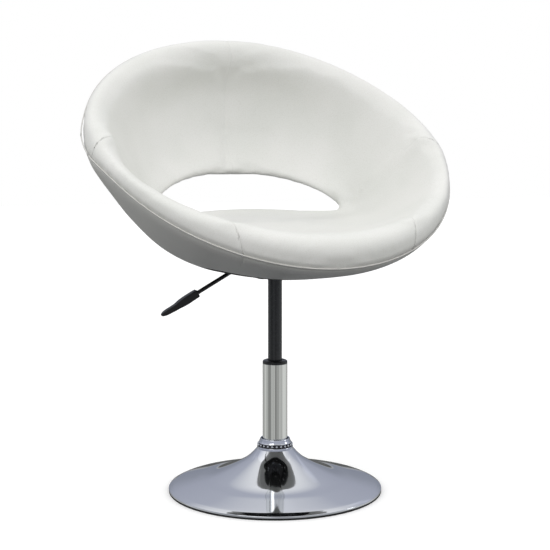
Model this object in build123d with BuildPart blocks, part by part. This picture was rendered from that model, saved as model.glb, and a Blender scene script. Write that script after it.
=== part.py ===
from build123d import *
import os
from math import cos, degrees, radians, sin, tan

# Swivel bucket chair: an upholstered ring bowl on a gas-lift column and a trumpet base.
# The origin is on the floor, on the column's axis. +Z is up and the sitter faces -Y,
# so the lift lever, on the sitter's right, is at -X. The seat is modelled fully raised.

os.makedirs("parts", exist_ok=True)

# ---------------------------------------------------------------- fits
RUN = 0.05              # running clearance, on the radius
SEAT_FIT = 0.02         # seated fit, on the radius
CLEAR = 0.3             # free clearance

# ---------------------------------------------------------------- column
TUBE_R = 25.0
TUBE_WALL = 1.8
TUBE_Z = 15.0           # underside of the tube's floor
TUBE_TOP = 258.0
TUBE_FLOOR_T = 3.0
TAPER_TOP = 78.0        # the tube's taper fit in the hub ends here
TAPER_DEG = 0.72        # half angle of the taper fits
CAP_H = 7.0
CAP_SPIGOT = 10.0
CAP_FILLET = 2.5
BUSH_LENGTH = 72.0
CYLINDER_R = 14.0
CYLINDER_WALL = 2.5
CYLINDER_Z = 160.0
CYLINDER_HEAD_T = 8.0
ROD_R = 5.0
ROD_END_R = 4.0         # below the bearing shoulder
PISTON_H = 10.0
GUIDE_H = 16.0
RACE_R = 13.0
RACE_T = 2.0
BALL_R = 1.8
BALL_COUNT = 10
BALL_CIRCLE_R = 9.0
CAGE_T = 1.6
BUMPER_R = 12.0
BUMPER_H = 12.0
BUMPER_FILLET = 2.0
CLIP_T = 1.2
WASHER_T = 1.6

# ---------------------------------------------------------------- base
BASE_R = 215.0          # rim of the trumpet
RING_W = 9.0            # rubber floor ring, across
RING_H = 4.0
RING_FILLET = 1.0
RIM_LIP = 3.0           # straight rolled edge of the trumpet above the ring
SHELL_T = 1.5           # spun sheet
FLARE_R, FLARE_Z = 120.0, 33.0
THROAT_R, THROAT_Z = 61.0, 62.0
HUB_WALL = 4.0          # taper hub welded in the neck
HUB_R = TUBE_R + HUB_WALL
HUB_Z = 17.0
NECK_GAP = 2.0          # trumpet's neck outside the hub
NECK_R, NECK_Z = HUB_R + NECK_GAP, 92.0
WEB_T = 2.5             # pressed disc that stiffens the trumpet
WEB_Z = 20.0
WEB_TOUCH = 0.42        # where it meets the trumpet, from rim (0) to neck (1)
COLLAR_GAP = 2.6        # round the tube
COLLAR_BORE_R = TUBE_R + COLLAR_GAP
COLLAR_LIP_T = 2.1
COLLAR_BELL = 10.4      # width of the bell's foot
COLLAR_R = COLLAR_BORE_R + COLLAR_BELL
COLLAR_Z = 79.0
COLLAR_H = 27.0
COLLAR_FOOT_H = 4.0
COLLAR_WAIST = 3.2      # how far the bell draws in at half height
BEAD_R = 2.3
BEAD_RISE = 14.6        # row of beads above the collar's foot
BEAD_SUNK = 3.6         # beads' centres inside the foot's radius
BEAD_COUNT = 24

# ---------------------------------------------------------------- mechanism
PLATE_TOP = 470.0       # flange face, against the seat board; it sets the seat's height
PLATE_T = 3.0
FLANGE_W = 140.0
FLANGE_CORNER = 18.0
DISH_W = 100.0
DISH_CORNER = 14.0
DISH_FILLET = 5.0
DISH_DEPTH = 34.0
SOCKET_WALL = 4.5
SOCKET_R = CYLINDER_R + SOCKET_WALL
SOCKET_LENGTH = 27.0
SOCKET_DROP = 40.0      # socket's lower end below the flange face
SOCKET_Z = PLATE_TOP - SOCKET_DROP
BOLT_PITCH = 120.0
BOLT_R = 3.0            # M6
BOLT_HEAD_R = 5.0
BOLT_HEAD_H = 4.0
LOCK_WASHER_R = 6.0
LOCK_WASHER_T = 1.5
TEE_FLANGE_R = 9.5
TEE_FLANGE_T = 1.5
TEE_BARREL_R = 4.2
TEE_BARREL_L = 8.4
LEVER_R = 4.0
SLOT_PLAY_W = 4.0       # slot in the dish, wider and higher than the lever by these
SLOT_PLAY_H = 6.0
LEVER_SLOT_W = 2 * LEVER_R + SLOT_PLAY_W
LEVER_SLOT_H = 2 * LEVER_R + SLOT_PLAY_H
LEVER_PAST_PIN = 4.0    # inner end past the release pin
LEVER_BEND_R = 9.0
PIVOT_X = -40.0
PIVOT_DROP = 10.0       # pivot below the flange face
PIVOT_Z = PLATE_TOP - PIVOT_DROP
PIVOT_R = 2.0
EAR_T = 3.0
EAR_W = 14.0
EAR_RISE = 5.0          # ears above the pivot
LEVER_BEND_X = -66.0
LEVER_FALL_DEG = 29.0   # slope of the outer arm
LEVER_ARM = 125.0       # bend to the end of the steel rod
GRIP_LENGTH = 84.0
GRIP_LAP = 16.0         # grip over the rod
GRIP_H = 15.0
GRIP_W = 18.0
PIN_R = 3.0
PIN_PROUD = 5.0

# ---------------------------------------------------------------- seat
# Three smooth rings steer the bowl, each given at its front, side and back:
# the centre of the rim roll, the belly that pulls the wall out, and the opening's edge.
RIM_X, RIM_EGG = 339.0, 0.07
RIM_Y = (-292.0, 12.0, 312.0)
RIM_RISE = (30.0, 206.0, 415.0)      # above the mechanism plate, as the next ones
BELLY_X, BELLY_EGG = 243.0, 0.08
BELLY_Y = (5.0, 126.0, 400.0)
BELLY_RISE = (-14.0, 76.0, 320.0)
EDGE_X = 222.0
EDGE_Y = (192.0, 138.0, 278.0)
EDGE_RISE = (66.0, 87.0, 170.0)
ROLL_R = 38.0
PAD_IN = (47.0, 27.0, 24.0)      # mid-wall thickness towards the sitter
PAD_OUT = (54.0, 25.0, 20.0)     # mid-wall thickness to the outside
EDGE_R = (23.0, 16.0, 13.0)      # roundness of the opening's edge
EDGE_SPLIT_DEG = 3.0             # inner and outer pads part this far each side of the edge
ROLL_SPLIT_DEG = 8.0             # and this far each side of the shell's end in the roll
WALL_NEAR, WALL_FAR = 0.3, 0.62  # places along the wall that steer its thickness
WELT_DEG = (44.0, 55.0, 60.0)    # place of the welt round the roll
BUCKET_T = 8.0          # moulded shell inside the foam
FOAM_GAP = 1.6
WELT_GAP = 5.2          # seam groove that holds the piping
WELT_R = 1.3
WELT_SUNK = 0.3         # welt's centre below the roll's surface
WELT_PITCH = 8.5        # half width per run: short runs follow the groove
WELT_RUNS = round(RIM_X / WELT_PITCH)
WELT_BEND_R = 240.0
FRONT_SEAM = 31.0       # seams, as angles round the bowl from the front
SIDE_SEAM = 90.0
SIDE_PITCH = 68.0       # half width per cross-section between the side seams
BACK_PITCH = 56.0       # and between the back ones, so a wider bowl has more of them
FRONT_STEPS = 4
SIDE_STEPS = round(RIM_X / SIDE_PITCH)
BACK_STEPS = round(RIM_X / BACK_PITCH)
BOARD_T = 12.0
BOARD_R = 108.0
BOARD_HOLE_R = 34.0
RECESS_R = 120.0        # room under the bowl for the mechanism
RECESS_DROP = 100.0     # below the board, past the bowl's underside
BOSS_H = 9.0
SCREW_COUNT = 6
SCREW_CIRCLE_R = 94.0
SCREW_R = 2.0
SCREW_HEAD_R = 4.0
SCREW_HEAD_H = 2.0
SCREW_BITE = 5.4        # into the shell's boss

CYLINDER_PROUD = 1.0    # gas cylinder's head above its socket
PISTON_GAP = 1.0        # piston above the rod guide
CYLINDER_TOP = SOCKET_Z + SOCKET_LENGTH + CYLINDER_PROUD
RACE_Z = TUBE_Z + TUBE_FLOOR_T
SHOULDER_Z = RACE_Z + RACE_T + 2 * BALL_R + 2 * SEAT_FIT
BUMPER_Z = SHOULDER_Z + RACE_T + SEAT_FIT
PISTON_Z = CYLINDER_Z + GUIDE_H + PISTON_GAP
BOARD_TOP = PLATE_TOP + BOARD_T
DISH_FLOOR = PLATE_TOP - DISH_DEPTH + PLATE_T


def spun(points):
    """Solid of revolution about the column's axis, from (radius, height) points."""
    with BuildPart() as solid:
        with BuildSketch(Plane.XZ):
            with BuildLine():
                Polyline(*points, close=True)
            make_face()
        revolve(axis=Axis.Z)
    return solid.part


def tube(outer_r, inner_r, z, height):
    """Plain ring about the column's axis."""
    with BuildPart() as solid:
        with BuildSketch(Plane.XY.offset(z)):
            Circle(outer_r)
            Circle(inner_r, mode=Mode.SUBTRACT)
        extrude(amount=height)
    return solid.part


def save(part, name):
    part.label = name
    export_step(part, f"parts/{name}.step")


# ================================================================ base
def trumpet_line(inset=0.0, mode=Mode.ADD):
    """Outside of the trumpet, from the rim to the neck, or the inside of its sheet."""
    return Spline(
        (BASE_R - inset, RING_H + RIM_LIP),
        (FLARE_R, FLARE_Z - inset),
        (THROAT_R - inset / 2, THROAT_Z - inset),
        (NECK_R - inset, NECK_Z),
        mode=mode,
    )


def make_floor_ring():
    with BuildPart() as floor_ring:
        with BuildSketch():
            Circle(BASE_R)
            Circle(BASE_R - RING_W, mode=Mode.SUBTRACT)
        extrude(amount=RING_H)
        outer_edge = floor_ring.edges().group_by(Axis.Z)[0].sort_by(SortBy.LENGTH)[-1]
        fillet(outer_edge, RING_FILLET)
    return floor_ring.part


def make_base_shell():
    with BuildPart() as base_shell:
        with BuildSketch(Plane.XZ):
            with BuildLine():
                trumpet_line()
                Line((NECK_R, NECK_Z), (NECK_R - SHELL_T, NECK_Z))
                trumpet_line(inset=SHELL_T)
                Polyline((BASE_R - SHELL_T, RING_H + RIM_LIP), (BASE_R - SHELL_T, RING_H),
                         (BASE_R, RING_H), (BASE_R, RING_H + RIM_LIP))
            make_face()
        revolve(axis=Axis.Z)
    return base_shell.part


def make_base_web():
    """Dished disc between the hub and the underside of the trumpet."""
    with BuildPart() as base_web:
        with BuildSketch(Plane.XZ):
            with BuildLine():
                touch = trumpet_line(mode=Mode.PRIVATE) @ WEB_TOUCH
                reach = touch.X - 2 * SHELL_T
                Polyline(
                    (HUB_R + SEAT_FIT, WEB_Z),
                    (reach, WEB_Z),
                    (touch.X, touch.Y - 2 * SHELL_T),
                    (reach, WEB_Z + WEB_T),
                    (HUB_R + SEAT_FIT, WEB_Z + WEB_T),
                    close=True,
                )
            make_face()
        revolve(axis=Axis.Z)
    return base_web.part


def taper_r(z):
    """Outside radius of the column tube's foot."""
    return TUBE_R - max(0.0, TAPER_TOP - z) * tan(radians(TAPER_DEG))


def make_taper_hub():
    return spun([
        (HUB_R, HUB_Z),
        (HUB_R, NECK_Z),
        (TUBE_R + SEAT_FIT, NECK_Z),
        (TUBE_R + SEAT_FIT, TAPER_TOP),
        (taper_r(HUB_Z) + SEAT_FIT, HUB_Z),
    ])


def make_collar():
    """Bell-shaped cover over the joint of tube and base, with a row of beads."""
    foot = COLLAR_Z + COLLAR_FOOT_H
    top = COLLAR_Z + COLLAR_H
    with BuildPart() as collar:
        with BuildSketch(Plane.XZ):
            with BuildLine():
                Line((COLLAR_BORE_R, COLLAR_Z), (COLLAR_R, COLLAR_Z))
                Line((COLLAR_R, COLLAR_Z), (COLLAR_R, foot))
                Spline((COLLAR_R, foot), (COLLAR_R - COLLAR_WAIST, COLLAR_Z + COLLAR_H / 2),
                       (COLLAR_BORE_R + COLLAR_LIP_T, top))
                Line((COLLAR_BORE_R + COLLAR_LIP_T, top), (COLLAR_BORE_R, top))
                Line((COLLAR_BORE_R, top), (COLLAR_BORE_R, COLLAR_Z))
            make_face()
        revolve(axis=Axis.Z)
        with Locations((0, 0, COLLAR_Z + BEAD_RISE)):
            with PolarLocations(COLLAR_R - BEAD_SUNK, BEAD_COUNT):
                Sphere(BEAD_R)
        with BuildSketch(Plane.XZ):
            with BuildLine():
                trumpet_line()
                Polyline((NECK_R, NECK_Z), (0, NECK_Z), (0, 0), (BASE_R, 0),
                         (BASE_R, RING_H + RIM_LIP))
            make_face()
        revolve(axis=Axis.Z, mode=Mode.SUBTRACT)
    return collar.part


# ================================================================ column
def make_column_tube():
    bore = TUBE_R - TUBE_WALL
    return spun([
        (ROD_END_R + CLEAR, TUBE_Z),
        (taper_r(TUBE_Z), TUBE_Z),
        (TUBE_R, TAPER_TOP),
        (TUBE_R, TUBE_TOP),
        (bore, TUBE_TOP),
        (bore, TAPER_TOP),
        (taper_r(TUBE_Z) - TUBE_WALL, RACE_Z),
        (ROD_END_R + CLEAR, RACE_Z),
    ])


def make_column_cap():
    with BuildPart() as column_cap:
        with BuildSketch(Plane.XY.offset(TUBE_TOP)):
            Circle(TUBE_R)
        extrude(amount=CAP_H)
        fillet(column_cap.faces().sort_by(Axis.Z)[-1].edges(), CAP_FILLET)
        with BuildSketch(Plane.XY.offset(TUBE_TOP)):
            Circle(TUBE_R - TUBE_WALL - SEAT_FIT)
        extrude(amount=-CAP_SPIGOT)
        with BuildSketch(Plane.XY.offset(TUBE_TOP - CAP_SPIGOT)):
            Circle(CYLINDER_R + CLEAR)
        extrude(amount=CAP_SPIGOT + CAP_H, mode=Mode.SUBTRACT)
    return column_cap.part


def make_guide_bush():
    return tube(TUBE_R - TUBE_WALL - SEAT_FIT, CYLINDER_R + RUN,
                TUBE_TOP - CAP_SPIGOT - BUSH_LENGTH, BUSH_LENGTH)


def socket_r(z):
    """Radius of the taper fit between gas cylinder and socket."""
    return CYLINDER_R - max(0.0, z - SOCKET_Z) * tan(radians(TAPER_DEG))


def make_gas_cylinder():
    bore = CYLINDER_R - CYLINDER_WALL
    head = CYLINDER_TOP - CYLINDER_HEAD_T
    return spun([
        (bore, CYLINDER_Z),
        (CYLINDER_R, CYLINDER_Z),
        (CYLINDER_R, SOCKET_Z),
        (socket_r(CYLINDER_TOP), CYLINDER_TOP),
        (PIN_R + RUN, CYLINDER_TOP),
        (PIN_R + RUN, head),
        (bore, head),
    ])


def make_piston_rod():
    return spun([
        (0, TUBE_Z - WASHER_T - 2 * CLIP_T),
        (ROD_END_R, TUBE_Z - WASHER_T - 2 * CLIP_T),
        (ROD_END_R, SHOULDER_Z + RACE_T),
        (ROD_R, SHOULDER_Z + RACE_T),
        (ROD_R, PISTON_Z + PISTON_H),
        (0, PISTON_Z + PISTON_H),
    ])


def make_piston_head():
    return tube(CYLINDER_R - CYLINDER_WALL - RUN, ROD_R + SEAT_FIT, PISTON_Z, PISTON_H)


def make_rod_guide():
    return tube(CYLINDER_R - CYLINDER_WALL - SEAT_FIT, ROD_R + RUN, CYLINDER_Z, GUIDE_H)


def make_lower_race():
    return tube(RACE_R, ROD_END_R + CLEAR, RACE_Z, RACE_T)


def make_bearing_cage():
    middle = RACE_Z + RACE_T + SEAT_FIT + BALL_R
    with BuildPart() as bearing_cage:
        with BuildSketch(Plane.XY.offset(middle - CAGE_T / 2)):
            Circle(RACE_R)
            Circle(ROD_END_R + CLEAR, mode=Mode.SUBTRACT)
            with PolarLocations(BALL_CIRCLE_R, BALL_COUNT):
                Circle(BALL_R + RUN, mode=Mode.SUBTRACT)
        extrude(amount=CAGE_T)
    return bearing_cage.part


def make_bearing_balls():
    with BuildPart() as bearing_balls:
        with Locations((0, 0, RACE_Z + RACE_T + SEAT_FIT + BALL_R)):
            with PolarLocations(BALL_CIRCLE_R, BALL_COUNT):
                Sphere(BALL_R)
    return bearing_balls.part


def make_upper_race():
    return tube(RACE_R, ROD_END_R + SEAT_FIT, SHOULDER_Z, RACE_T)


def make_bumper():
    with BuildPart() as bumper:
        with BuildSketch(Plane.XY.offset(BUMPER_Z)):
            Circle(BUMPER_R)
            Circle(ROD_R + SEAT_FIT, mode=Mode.SUBTRACT)
        extrude(amount=BUMPER_H)
        outer_edge = bumper.edges().group_by(Axis.Z)[-1].sort_by(SortBy.LENGTH)[-1]
        fillet(outer_edge, BUMPER_FILLET)
    return bumper.part


def make_rod_washer():
    return tube(TUBE_R / 2, ROD_END_R + SEAT_FIT, TUBE_Z - WASHER_T - RUN, WASHER_T)


def make_spring_clip():
    """Open ring that holds the rod under the tube's floor."""
    with BuildPart() as spring_clip:
        with BuildSketch(Plane.XY.offset(TUBE_Z - WASHER_T - CLIP_T - 2 * RUN)):
            Circle(2 * ROD_END_R)
            Circle(ROD_END_R + SEAT_FIT, mode=Mode.SUBTRACT)
            with Locations((0, -2 * ROD_END_R)):
                Rectangle(ROD_END_R, 3 * ROD_END_R, mode=Mode.SUBTRACT)
        extrude(amount=CLIP_T)
    return spring_clip.part


def make_release_pin():
    """Valve button: a domed pin through the cylinder's head."""
    tip = CYLINDER_TOP + PIN_PROUD
    with BuildPart() as release_pin:
        with BuildSketch(Plane.XY.offset(CYLINDER_TOP - CYLINDER_HEAD_T - 1)):
            Circle(PIN_R)
        extrude(amount=CYLINDER_HEAD_T + 1 + PIN_PROUD - PIN_R)
        with Locations((0, 0, tip - PIN_R)):
            Sphere(PIN_R)
    return release_pin.part


# ================================================================ mechanism
def bolt_places():
    return GridLocations(BOLT_PITCH, BOLT_PITCH, 2, 2)


def make_mechanism_plate():
    """Pressed dish with a flange: it hangs the socket under the seat board."""
    dish_in = DISH_W - 2 * PLATE_T
    with BuildPart() as mechanism_plate:
        with BuildSketch(Plane.XY.offset(PLATE_TOP)):
            RectangleRounded(FLANGE_W, FLANGE_W, FLANGE_CORNER)
        extrude(amount=-PLATE_T)
        with BuildSketch(Plane.XY.offset(PLATE_TOP)):
            RectangleRounded(DISH_W, DISH_W, DISH_CORNER)
        extrude(amount=-DISH_DEPTH)
        fillet(mechanism_plate.faces().sort_by(Axis.Z)[0].edges(), DISH_FILLET)
        with BuildSketch(Plane.XY.offset(PLATE_TOP)):
            RectangleRounded(dish_in, dish_in, DISH_CORNER - PLATE_T)
        extrude(amount=PLATE_T - DISH_DEPTH, mode=Mode.SUBTRACT)
        with BuildSketch(Plane.XY.offset(PLATE_TOP)):
            Circle(SOCKET_R + SEAT_FIT)
            with bolt_places():
                Circle(BOLT_R + CLEAR)
        extrude(amount=-DISH_DEPTH, mode=Mode.SUBTRACT)
        with Locations((-DISH_W / 2, 0, PIVOT_Z)):
            Box(3 * PLATE_T, LEVER_SLOT_W, LEVER_SLOT_H, mode=Mode.SUBTRACT)
    return mechanism_plate.part


def make_taper_socket():
    top = SOCKET_Z + SOCKET_LENGTH
    return spun([
        (socket_r(SOCKET_Z) + SEAT_FIT, SOCKET_Z),
        (SOCKET_R, SOCKET_Z),
        (SOCKET_R, top),
        (socket_r(top) + SEAT_FIT, top),
    ])


def make_lever_bracket():
    """U-shaped bracket on the dish floor: two ears either side of the lever."""
    inside = 2 * LEVER_R + 2 * CLEAR
    height = PIVOT_Z + EAR_RISE - DISH_FLOOR
    with BuildPart() as lever_bracket:
        with BuildSketch(Plane.YZ.offset(PIVOT_X - EAR_W / 2)):
            with Locations((0, DISH_FLOOR)):
                Rectangle(inside + 2 * EAR_T, height, align=(Align.CENTER, Align.MIN))
            with Locations((0, DISH_FLOOR + EAR_T)):
                Rectangle(inside, height, align=(Align.CENTER, Align.MIN), mode=Mode.SUBTRACT)
        extrude(amount=EAR_W)
        with Locations(Location((PIVOT_X, 0, PIVOT_Z), (90, 0, 0))):
            Cylinder(PIVOT_R + SEAT_FIT, inside + 4 * EAR_T, mode=Mode.SUBTRACT)
    return lever_bracket.part


def make_pivot_pin():
    with BuildPart() as pivot_pin:
        with Locations(Location((PIVOT_X, 0, PIVOT_Z), (90, 0, 0))):
            Cylinder(PIVOT_R, 2 * (LEVER_R + CLEAR + EAR_T))
    return pivot_pin.part


def lever_end(distance):
    """Point on the outer arm, this far past the bend."""
    fall = radians(LEVER_FALL_DEG)
    return Vector(LEVER_BEND_X - distance * cos(fall), 0, PIVOT_Z - distance * sin(fall))


def make_lever_rod():
    """Bent steel rod: its inner end lies on the release pin."""
    over_pin = CYLINDER_TOP + PIN_PROUD + RUN + LEVER_R
    with BuildPart() as lever_rod:
        with BuildLine() as route:
            FilletPolyline(
                (PIN_R + LEVER_PAST_PIN, 0, over_pin),
                (-2 * PIN_R, 0, over_pin),
                (PIVOT_X, 0, PIVOT_Z),
                (LEVER_BEND_X, 0, PIVOT_Z),
                tuple(lever_end(LEVER_ARM)),
                radius=LEVER_BEND_R,
            )
        with BuildSketch(Plane(route.line @ 0, z_dir=route.line % 0)):
            Circle(LEVER_R)
        sweep()
        with Locations(Location((PIVOT_X, 0, PIVOT_Z), (90, 0, 0))):
            Cylinder(PIVOT_R + RUN, 4 * LEVER_R, mode=Mode.SUBTRACT)
    return lever_rod.part


def make_lever_grip():
    """Moulded paddle: square at the rod, a belly below, a slimmer round tip."""
    start = lever_end(LEVER_ARM - GRIP_LAP)
    along = (lever_end(1) - lever_end(0)).normalized()
    side = Plane(origin=start, x_dir=along, z_dir=(0, -1, 0))
    half, slim = GRIP_H / 2, GRIP_H / 4
    third, waist, tip = GRIP_LENGTH / 3, GRIP_LENGTH * 2 / 3, GRIP_LENGTH - GRIP_H / 2
    with BuildPart() as lever_grip:
        with BuildSketch(side):
            with BuildLine():
                Line((0, -half), (0, half))
                Spline((0, half), (third, half), (waist, slim), (tip, slim))
                ThreePointArc((tip, slim), (GRIP_LENGTH, 0), (tip, -slim))
                Spline((tip, -slim), (waist, -half), (third, -half - CLEAR), (0, -half))
            make_face()
        extrude(amount=GRIP_W / 2, both=True)
        with BuildSketch(Plane(start, z_dir=along)):
            Circle(LEVER_R + SEAT_FIT)
        extrude(amount=GRIP_LAP + CLEAR, mode=Mode.SUBTRACT)
    return lever_grip.part


def make_plate_bolts():
    head = PLATE_TOP - PLATE_T - LOCK_WASHER_T
    with BuildPart() as plate_bolts:
        with BuildSketch(Plane.XY.offset(head)):
            with bolt_places():
                RegularPolygon(BOLT_HEAD_R, 6)
        extrude(amount=-BOLT_HEAD_H)
        with BuildSketch(Plane.XY.offset(head)):
            with bolt_places():
                Circle(BOLT_R)
        extrude(amount=LOCK_WASHER_T + PLATE_T + BOARD_T)
    return plate_bolts.part


def make_lock_washers():
    with BuildPart() as lock_washers:
        with BuildSketch(Plane.XY.offset(PLATE_TOP - PLATE_T)):
            with bolt_places():
                Circle(LOCK_WASHER_R)
                Circle(BOLT_R + SEAT_FIT, mode=Mode.SUBTRACT)
        extrude(amount=-LOCK_WASHER_T)
    return lock_washers.part


def make_tee_nuts():
    """Nuts with a flange on the board's top and a threaded barrel in it."""
    with BuildPart() as tee_nuts:
        with BuildSketch(Plane.XY.offset(BOARD_TOP)):
            with bolt_places():
                Circle(TEE_FLANGE_R)
                Circle(BOLT_R + SEAT_FIT, mode=Mode.SUBTRACT)
        extrude(amount=-TEE_FLANGE_T)
        with BuildSketch(Plane.XY.offset(BOARD_TOP)):
            with bolt_places():
                Circle(TEE_BARREL_R)
                Circle(BOLT_R + SEAT_FIT, mode=Mode.SUBTRACT)
        extrude(amount=-TEE_BARREL_L)
    return tee_nuts.part


def screw_places():
    return PolarLocations(SCREW_CIRCLE_R, SCREW_COUNT)


def make_seat_board():
    with BuildPart() as seat_board:
        with BuildSketch(Plane.XY.offset(PLATE_TOP)):
            Circle(BOARD_R)
            Circle(BOARD_HOLE_R, mode=Mode.SUBTRACT)
            with bolt_places():
                Circle(BOLT_R + CLEAR, mode=Mode.SUBTRACT)
            with screw_places():
                Circle(SCREW_R + SEAT_FIT, mode=Mode.SUBTRACT)
        extrude(amount=BOARD_T)
        with BuildSketch(Plane.XY.offset(BOARD_TOP)):
            with bolt_places():
                Circle(TEE_BARREL_R + SEAT_FIT)
        extrude(amount=-TEE_BARREL_L - SEAT_FIT, mode=Mode.SUBTRACT)
        with BuildSketch(Plane.XY.offset(BOARD_TOP)):
            with bolt_places():
                Circle(TEE_FLANGE_R + SEAT_FIT)
        extrude(amount=-TEE_FLANGE_T - SEAT_FIT, mode=Mode.SUBTRACT)
    return seat_board.part


def make_board_screws():
    with BuildPart() as board_screws:
        with BuildSketch(Plane.XY.offset(PLATE_TOP)):
            with screw_places():
                Circle(SCREW_HEAD_R)
        extrude(amount=-SCREW_HEAD_H)
        with BuildSketch(Plane.XY.offset(PLATE_TOP)):
            with screw_places():
                Circle(SCREW_R)
        extrude(amount=BOARD_T + SCREW_BITE)
    return board_screws.part


# ================================================================ seat
def around(phi, front, side, back):
    """Value that runs smoothly from the front over the side to the back of a ring."""
    c = cos(radians(phi))
    return side + (front - back) / 2 * c + ((front + back) / 2 - side) * c * c


class Station:
    """One cross-section of the bowl wall, at an angle round it from the front.

    Its plane has the rim roll's centre at the origin and the opening's edge on +x;
    the sitter is on the +y side of the wall's middle line.
    """

    def __init__(self, phi):
        s, c = sin(radians(phi)), cos(radians(phi))
        rim = Vector(RIM_X * s * (1 - RIM_EGG * c), around(phi, *RIM_Y),
                     PLATE_TOP + around(phi, *RIM_RISE))
        belly = Vector(BELLY_X * s * (1 - BELLY_EGG * c), around(phi, *BELLY_Y),
                       PLATE_TOP + around(phi, *BELLY_RISE))
        edge = Vector(EDGE_X * s, around(phi, *EDGE_Y), PLATE_TOP + around(phi, *EDGE_RISE))
        self.plane = Plane(origin=rim, x_dir=edge - rim, z_dir=(belly - rim).cross(edge - rim))
        self.belly = self.plane.to_local_coords(belly)
        self.edge = self.plane.to_local_coords(edge)
        self.pad_in = around(phi, *PAD_IN)
        self.pad_out = around(phi, *PAD_OUT)
        self.edge_r = around(phi, *EDGE_R)
        self.welt = around(phi, *WELT_DEG)

    def along(self, t):
        """Direction of the middle line, from the roll (t = 0) to the edge (t = 1)."""
        return (self.belly * (1 - t) + (self.edge - self.belly) * t).normalized()

    def at(self, t, off):
        """Point beside the middle line, off towards the sitter."""
        middle = self.belly * (2 * t * (1 - t)) + self.edge * (t * t)
        return middle + self.along(t).rotate(Axis.Z, 90) * off

    def roll(self, degrees, radius=ROLL_R):
        """Point on the rim roll: 0 faces out, 90 the sitter, -90 the outside."""
        return self.along(0).rotate(Axis.Z, 180 - degrees) * radius

    def lip(self, degrees):
        """Point on the rounded edge: 0 faces into the opening, 90 the sitter."""
        return self.edge + self.along(1).rotate(Axis.Z, degrees) * self.edge_r


def pad_face(station, side):
    """Face of a pad: side 1 is the sitter's side of the moulded shell, -1 the outside."""
    groove = side * degrees(WELT_GAP / 2 / ROLL_R)
    depth = station.pad_in if side > 0 else station.pad_out
    back = side * (BUCKET_T / 2 + FOAM_GAP)
    seam = -station.welt + groove
    start, turn = station.along(0), station.along(1)
    split = station.lip(side * EDGE_SPLIT_DEG)
    shell_end = station.roll(side * ROLL_SPLIT_DEG, abs(back))
    with BuildSketch(station.plane) as face:
        with BuildLine():
            ThreePointArc(station.roll(seam), station.roll((seam + side * 90) / 2),
                          station.roll(side * 90))
            Spline(station.at(0, side * ROLL_R),
                   station.at(WALL_NEAR, side * (depth + ROLL_R) / 2),
                   station.at(WALL_FAR, side * depth), station.at(1, side * station.edge_r),
                   tangents=(start, turn))
            ThreePointArc(station.lip(side * 90), station.lip(side * 45), split)
            Line(split, station.at(1, back))
            Spline(station.at(1, back), station.at(WALL_FAR, back), station.at(WALL_NEAR, back),
                   station.at(0, back), tangents=(turn * -1, start * -1))
            Line(station.at(0, back), shell_end)
            Line(shell_end, station.roll(seam))
        make_face()
    return face.sketch


def pad(first, last, steps, side):
    """Foam and cover between two seams."""
    with BuildPart() as solid:
        for step in range(steps + 1):
            add(pad_face(Station(first + (last - first) * step / steps), side))
        loft()
        with BuildSketch(Plane.XY.offset(BOARD_TOP)):
            Circle(RECESS_R)
        extrude(amount=-RECESS_DROP, mode=Mode.SUBTRACT)
        with BuildSketch(Plane.XY.offset(BOARD_TOP)):
            Circle(BOARD_R + 2 * FOAM_GAP)
        extrude(amount=BOSS_H + FOAM_GAP, mode=Mode.SUBTRACT)
    return solid.part


def mirrored(part):
    return mirror(part, about=Plane.YZ)


def bucket_span(first, last, steps):
    """Moulded shell between two seams."""
    half = BUCKET_T / 2
    with BuildPart() as span:
        for step in range(steps + 1):
            station = Station(first + (last - first) * step / steps)
            start, turn = station.along(0), station.along(1)
            with BuildSketch(station.plane):
                with BuildLine():
                    Line(station.at(0, -half), station.at(0, half))
                    Spline(station.at(0, half), station.at(WALL_NEAR, half),
                           station.at(WALL_FAR, half), station.at(1, half),
                           tangents=(start, turn))
                    Line(station.at(1, half), station.at(1, -half))
                    Spline(station.at(1, -half), station.at(WALL_FAR, -half),
                           station.at(WALL_NEAR, -half), station.at(0, -half),
                           tangents=(turn * -1, start * -1))
                make_face()
        loft()
    return span.part


def make_bucket_shell():
    """Moulded shell in the foam, with a flat boss that takes the seat board."""
    front = bucket_span(-FRONT_SEAM, FRONT_SEAM, FRONT_STEPS)
    flank = bucket_span(FRONT_SEAM, SIDE_SEAM, SIDE_STEPS)
    back = bucket_span(SIDE_SEAM, 180, BACK_STEPS)
    mirror_images = [mirrored(flank), mirrored(back)]
    with BuildPart() as bucket_shell:
        add([front, flank, back] + mirror_images)
        with BuildSketch(Plane.XY.offset(BOARD_TOP)):
            Circle(BOARD_R)
        extrude(amount=BOSS_H)
        with BuildSketch(Plane.XY.offset(BOARD_TOP)):
            Circle(RECESS_R)
        extrude(amount=-RECESS_DROP, mode=Mode.SUBTRACT)
        with BuildSketch(Plane.XY.offset(BOARD_TOP)):
            with screw_places():
                Circle(SCREW_R + SEAT_FIT)
        extrude(amount=SCREW_BITE + SEAT_FIT, mode=Mode.SUBTRACT)
    return bucket_shell.part


def make_welt_half():
    """Piping in the seam groove, from the front's middle to the back's middle."""
    points = []
    for step in range(WELT_RUNS + 1):
        station = Station(180 * step / WELT_RUNS)
        place = station.roll(-station.welt, ROLL_R - WELT_SUNK)
        points.append(tuple(station.plane.from_local_coords(place)))
    with BuildPart() as welt_half:
        with BuildLine() as route:
            FilletPolyline(*points, radius=WELT_BEND_R)
        with BuildSketch(Plane(route.line @ 0, z_dir=route.line % 0)):
            Circle(WELT_R)
        sweep()
    return welt_half.part


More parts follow.
